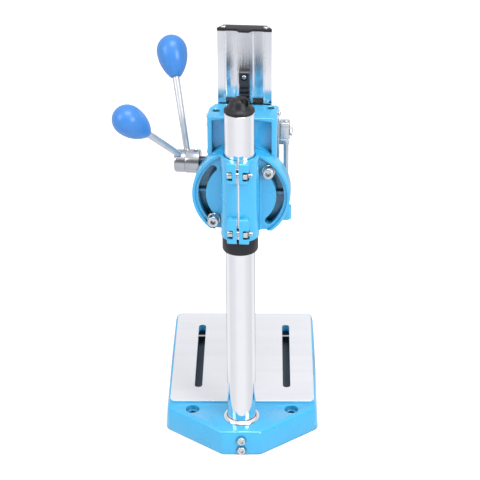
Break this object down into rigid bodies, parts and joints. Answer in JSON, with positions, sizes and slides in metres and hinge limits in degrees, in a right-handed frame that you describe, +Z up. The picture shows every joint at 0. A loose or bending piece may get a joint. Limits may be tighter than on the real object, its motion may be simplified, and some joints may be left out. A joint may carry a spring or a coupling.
{
  "type": "bench drill stand",
  "caption": "Bench stand for a hand drill: hollow cast base with slotted table, steel column, tilting clamp, and a rack-and-pinion slide with feed levers and a split collar.",
  "frame": {"origin": "on the column's axis, in the plane of the bench", "axes": "+Z up the column, -Y towards the operator and over the table, +X to the operator's right, the side of the feed levers"},
  "size_m": [0.2426, 0.2913, 0.5171],
  "materials": {
    "blue_paint": "satin sky-blue paint over rough casting",
    "chromed_steel": "polished chrome plate",
    "zinc_plated_steel": "bright zinc plate",
    "milled_aluminium": "bare drawn and milled aluminium",
    "black_plastic": "matt dark grey moulding",
    "blackened_steel": "blackened steel",
    "knob_plastic": "satin mid-blue moulding",
    "bearing_bronze": "plain bearing bronze"
  },
  "bodies": {
    "stand": {"base_casting": "blue_paint", "base_screw_upper": "zinc_plated_steel", "base_screw_lower": "zinc_plated_steel", "column_tube": "chromed_steel", "foot_ring": "chromed_steel", "column_cap": "black_plastic"},
    "stop_ring": {"stop_ring": "black_plastic", "stop_ring_screw": "zinc_plated_steel"},
    "clamp": {"column_clamp": "blue_paint", "clamp_bolt_upper": "zinc_plated_steel", "clamp_bolt_lower": "zinc_plated_steel", "clamp_nut_upper": "zinc_plated_steel", "clamp_nut_lower": "zinc_plated_steel"},
    "housing": {"slide_housing": "blue_paint", "slide_liner_left": "black_plastic", "slide_liner_right": "black_plastic", "gib_screw_upper": "zinc_plated_steel", "gib_screw_lower": "zinc_plated_steel", "ear_screw_left": "zinc_plated_steel", "ear_screw_right": "zinc_plated_steel", "shaft_bush_left": "bearing_bronze", "shaft_bush_right": "bearing_bronze", "depth_scale": "milled_aluminium", "tilt_screw_left": "zinc_plated_steel", "tilt_screw_right": "zinc_plated_steel", "tilt_washer_left": "zinc_plated_steel", "tilt_washer_right": "zinc_plated_steel"},
    "carriage": {"slide_extrusion": "milled_aluminium", "slide_end_cap": "black_plastic", "cap_screw_left": "zinc_plated_steel", "cap_screw_right": "zinc_plated_steel", "feed_rack": "blackened_steel", "rack_screw_upper": "zinc_plated_steel", "rack_screw_lower": "zinc_plated_steel", "drill_collar": "blue_paint", "collar_clamp_screw": "zinc_plated_steel", "collar_foot_screw_upper": "zinc_plated_steel", "collar_foot_screw_lower": "zinc_plated_steel", "depth_rod": "chromed_steel", "depth_rod_screw": "zinc_plated_steel"},
    "levers": {"pinion_shaft": "blackened_steel", "lever_hub": "zinc_plated_steel", "hub_set_screw": "blackened_steel", "lever_rod_upper": "chromed_steel", "lever_rod_rear": "chromed_steel", "lever_knob_upper": "knob_plastic", "lever_knob_rear": "knob_plastic", "knob_ferrule_upper": "black_plastic", "knob_ferrule_rear": "black_plastic"},
    "depth_stop": {"depth_stop_block": "zinc_plated_steel"},
    "thumb_screw": {"thumb_screw": "zinc_plated_steel"}
  },
  "joints": [
    {"name": "head_height", "type": "slide", "parent": "stand", "child": "stop_ring", "axis": [0, 0, 1], "range_m": [-0.12, 0.045]},
    {"name": "head_swivel", "type": "hinge", "parent": "stop_ring", "child": "clamp", "pos_m": [0, 0, 0.3304], "axis": [0, 0, 1], "range_deg": [-90, 90]},
    {"name": "head_tilt", "type": "hinge", "parent": "clamp", "child": "housing", "pos_m": [-0.00176, -0.02193, 0.3304], "axis": [-0.0802, -0.9968, 0], "range_deg": [0, 90]},
    {"name": "feed", "type": "slide", "parent": "housing", "child": "carriage", "axis": [0, 0, -1], "range_m": [0, 0.06]},
    {"name": "lever_turn", "type": "hinge", "parent": "housing", "child": "levers", "pos_m": [-0.00389, -0.04829, 0.3549], "axis": [0.9968, -0.0802, 0], "range_deg": [0, 327.5]},
    {"name": "stop_height", "type": "slide", "parent": "carriage", "child": "depth_stop", "axis": [0, 0, 1], "range_m": [-0.012, 0]},
    {"name": "thumb_turn", "type": "hinge", "parent": "depth_stop", "child": "thumb_screw", "pos_m": [-0.05344, -0.06191, 0.391], "axis": [-0.9968, 0.0802, 0], "continuous": true}
  ],
  "couplings": [
    {"joint": "lever_turn", "follows": "feed", "rad_per_m": 95.238}
  ]
}
